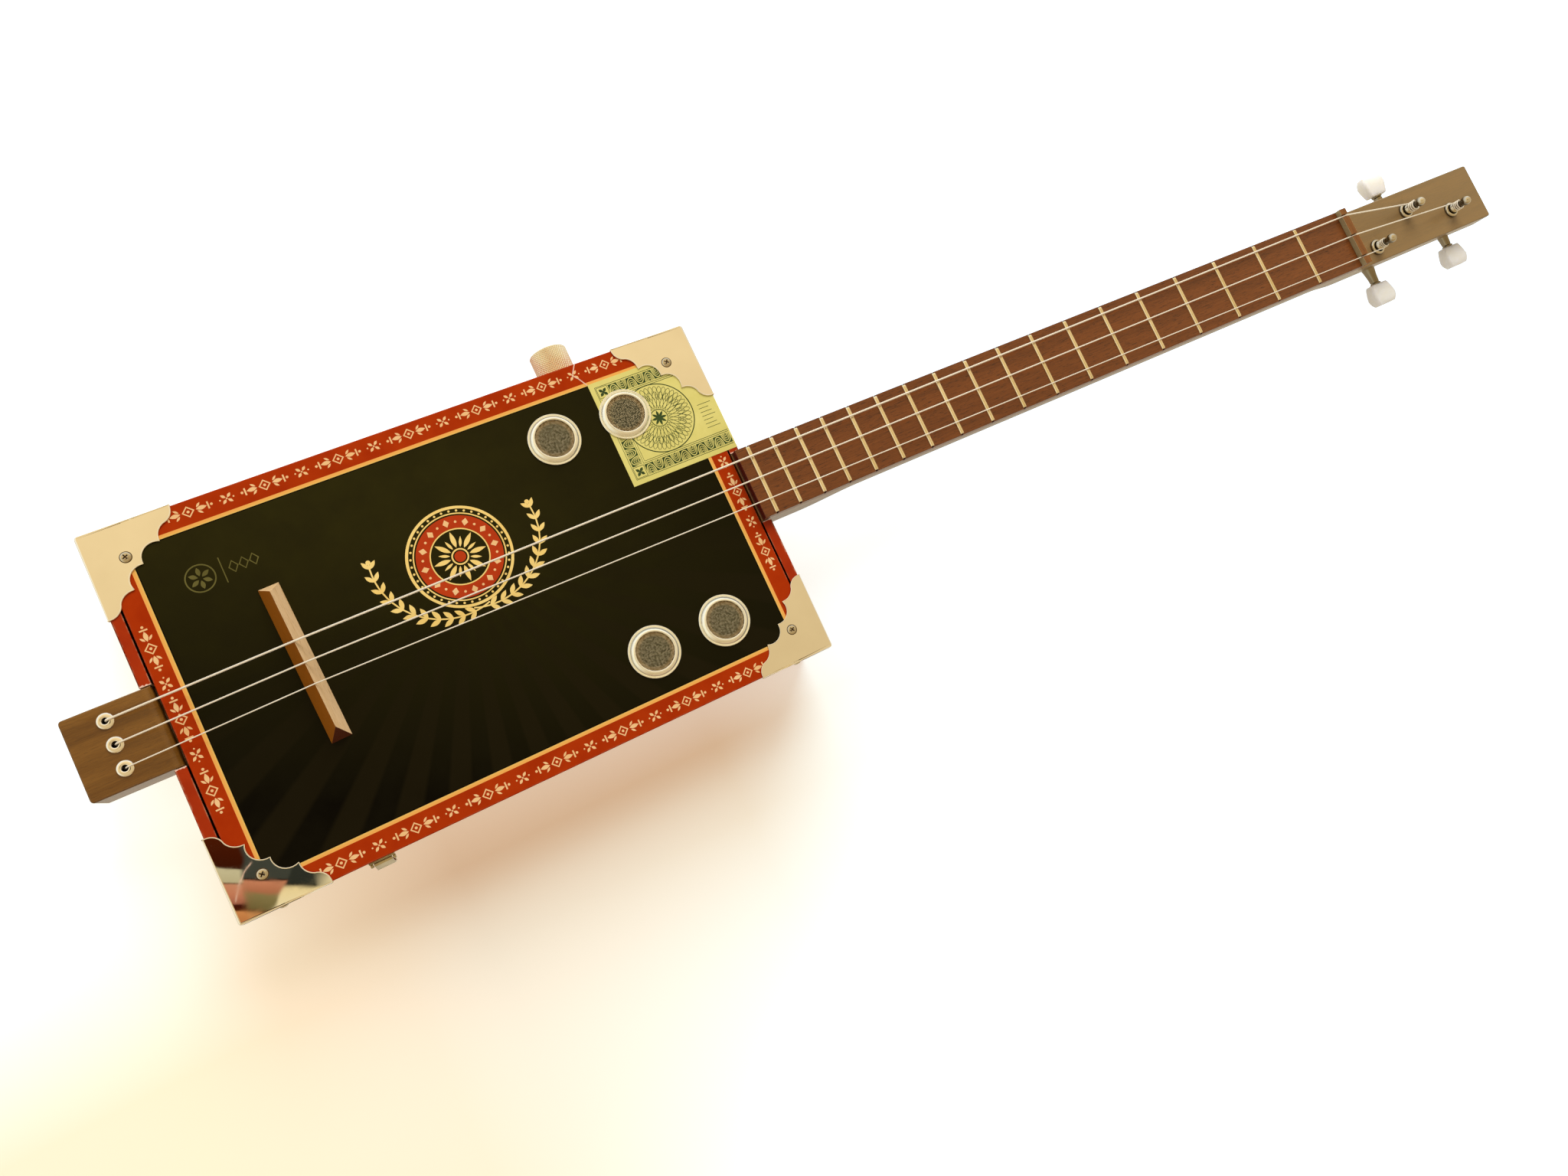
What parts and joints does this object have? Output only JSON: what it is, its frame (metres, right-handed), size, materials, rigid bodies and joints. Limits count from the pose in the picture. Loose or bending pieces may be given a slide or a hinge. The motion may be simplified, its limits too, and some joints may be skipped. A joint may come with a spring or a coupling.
{
  "type": "cigar box guitar",
  "caption": "Electric box guitar: hollow rectangular body with a neck right through it, fretted fingerboard, geared tuners, loose bridge, screened sound ports and a volume knob.",
  "frame": {"origin": "centre of the underside of the box", "axes": "+X along the neck to the headstock, +Y to the bass side with the volume knob, +Z out of the face"},
  "size_m": [0.8646, 0.1999, 0.0615],
  "materials": {
    "lid_print": "printed paper over thin wood, satin varnish",
    "box_paper": "printed paper over wood",
    "neck_wood": "oiled open-grained hardwood",
    "fretboard_wood": "reddish open-grained hardwood, satin",
    "nut_wood": "dark hardwood blade",
    "bridge_wood": "bare hardwood",
    "fret_nickel": "polished nickel silver",
    "bracket_chrome": "mirror plated",
    "port_chrome": "mirror plated ring, woven wire",
    "tuner_chrome": "mirror plated",
    "button_pearl": "pearly moulded plastic",
    "string_steel": "bare and wound wire",
    "knob_metal": "bright plated",
    "control_metal": "plain plated",
    "pickup_brass": "thin brass disc with a ceramic face"
  },
  "bodies": {
    "root": {"box_lid": "lid_print", "box_bottom": "box_paper", "box_side_bass": "box_paper", "box_side_treble": "box_paper", "box_end_head": "box_paper", "box_end_tail": "box_paper", "neck": "neck_wood", "fretboard": "fretboard_wood", "nut": "nut_wood", "bridge": "bridge_wood", "fret_01": "fret_nickel", "fret_02": "fret_nickel", "fret_03": "fret_nickel", "fret_04": "fret_nickel", "fret_05": "fret_nickel", "fret_06": "fret_nickel", "fret_07": "fret_nickel", "fret_08": "fret_nickel", "fret_09": "fret_nickel", "fret_10": "fret_nickel", "fret_11": "fret_nickel", "fret_12": "fret_nickel", "fret_13": "fret_nickel", "fret_14": "fret_nickel", "fret_15": "fret_nickel", "fret_16": "fret_nickel", "fret_17": "fret_nickel", "fret_18": "fret_nickel", "bracket_tail_treble": "bracket_chrome", "bracket_tail_bass": "bracket_chrome", "bracket_head_treble": "bracket_chrome", "bracket_head_bass": "bracket_chrome", "sound_port_bass_tail": "port_chrome", "sound_port_bass_head": "port_chrome", "sound_port_treble_tail": "port_chrome", "sound_port_treble_head": "port_chrome", "tuner_housing_treble": "tuner_chrome", "tuner_housing_middle": "tuner_chrome", "tuner_housing_bass": "tuner_chrome", "post_bushing_treble": "tuner_chrome", "post_bushing_middle": "tuner_chrome", "post_bushing_bass": "tuner_chrome", "ferrule_treble": "tuner_chrome", "ferrule_middle": "tuner_chrome", "ferrule_bass": "tuner_chrome", "string_treble": "string_steel", "string_middle": "string_steel", "string_bass": "string_steel", "clasp_plate": "knob_metal", "volume_control": "control_metal", "output_jack": "control_metal", "pickup_disc": "pickup_brass"},
    "knob": {"volume_knob": "knob_metal"},
    "hasp": {"clasp_hasp": "knob_metal"},
    "button_treble": {"tuner_button_treble": "button_pearl"},
    "post_treble": {"tuner_post_treble": "tuner_chrome"},
    "button_middle": {"tuner_button_middle": "button_pearl"},
    "post_middle": {"tuner_post_middle": "tuner_chrome"},
    "button_bass": {"tuner_button_bass": "button_pearl"},
    "post_bass": {"tuner_post_bass": "tuner_chrome"}
  },
  "joints": [
    {"name": "button_treble_turn", "type": "hinge", "parent": "root", "child": "button_treble", "pos_m": [0.5933, -0.037, 0.0265], "axis": [0, 1, 0], "continuous": true},
    {"name": "button_middle_turn", "type": "hinge", "parent": "root", "child": "button_middle", "pos_m": [0.6641, -0.033, 0.0265], "axis": [0, 1, 0], "continuous": true},
    {"name": "button_bass_turn", "type": "hinge", "parent": "root", "child": "button_bass", "pos_m": [0.6287, 0.0325, 0.0265], "axis": [0, 1, 0], "continuous": true},
    {"name": "post_treble_turn", "type": "hinge", "parent": "root", "child": "post_treble", "pos_m": [0.5878, -0.0095, 0.04], "axis": [0, 0, 1], "continuous": true},
    {"name": "post_middle_turn", "type": "hinge", "parent": "root", "child": "post_middle", "pos_m": [0.6586, -0.0055, 0.04], "axis": [0, 0, 1], "continuous": true},
    {"name": "post_bass_turn", "type": "hinge", "parent": "root", "child": "post_bass", "pos_m": [0.6232, 0.005, 0.04], "axis": [0, 0, 1], "continuous": true},
    {"name": "volume_turn", "type": "hinge", "parent": "root", "child": "knob", "pos_m": [0.08, 0.0985, 0.028], "axis": [0, 1, 0], "range_deg": [-150, 150]},
    {"name": "hasp_swing", "type": "hinge", "parent": "root", "child": "hasp", "pos_m": [-0.0839, -0.09045, 0.0453], "axis": [-1, 0, 0], "range_deg": [0, 120]}
  ],
  "couplings": [
    {"joint": "post_treble_turn", "follows": "button_treble_turn", "ratio": 0.071429},
    {"joint": "post_middle_turn", "follows": "button_middle_turn", "ratio": 0.071429},
    {"joint": "post_bass_turn", "follows": "button_bass_turn", "ratio": -0.071429}
  ]
}
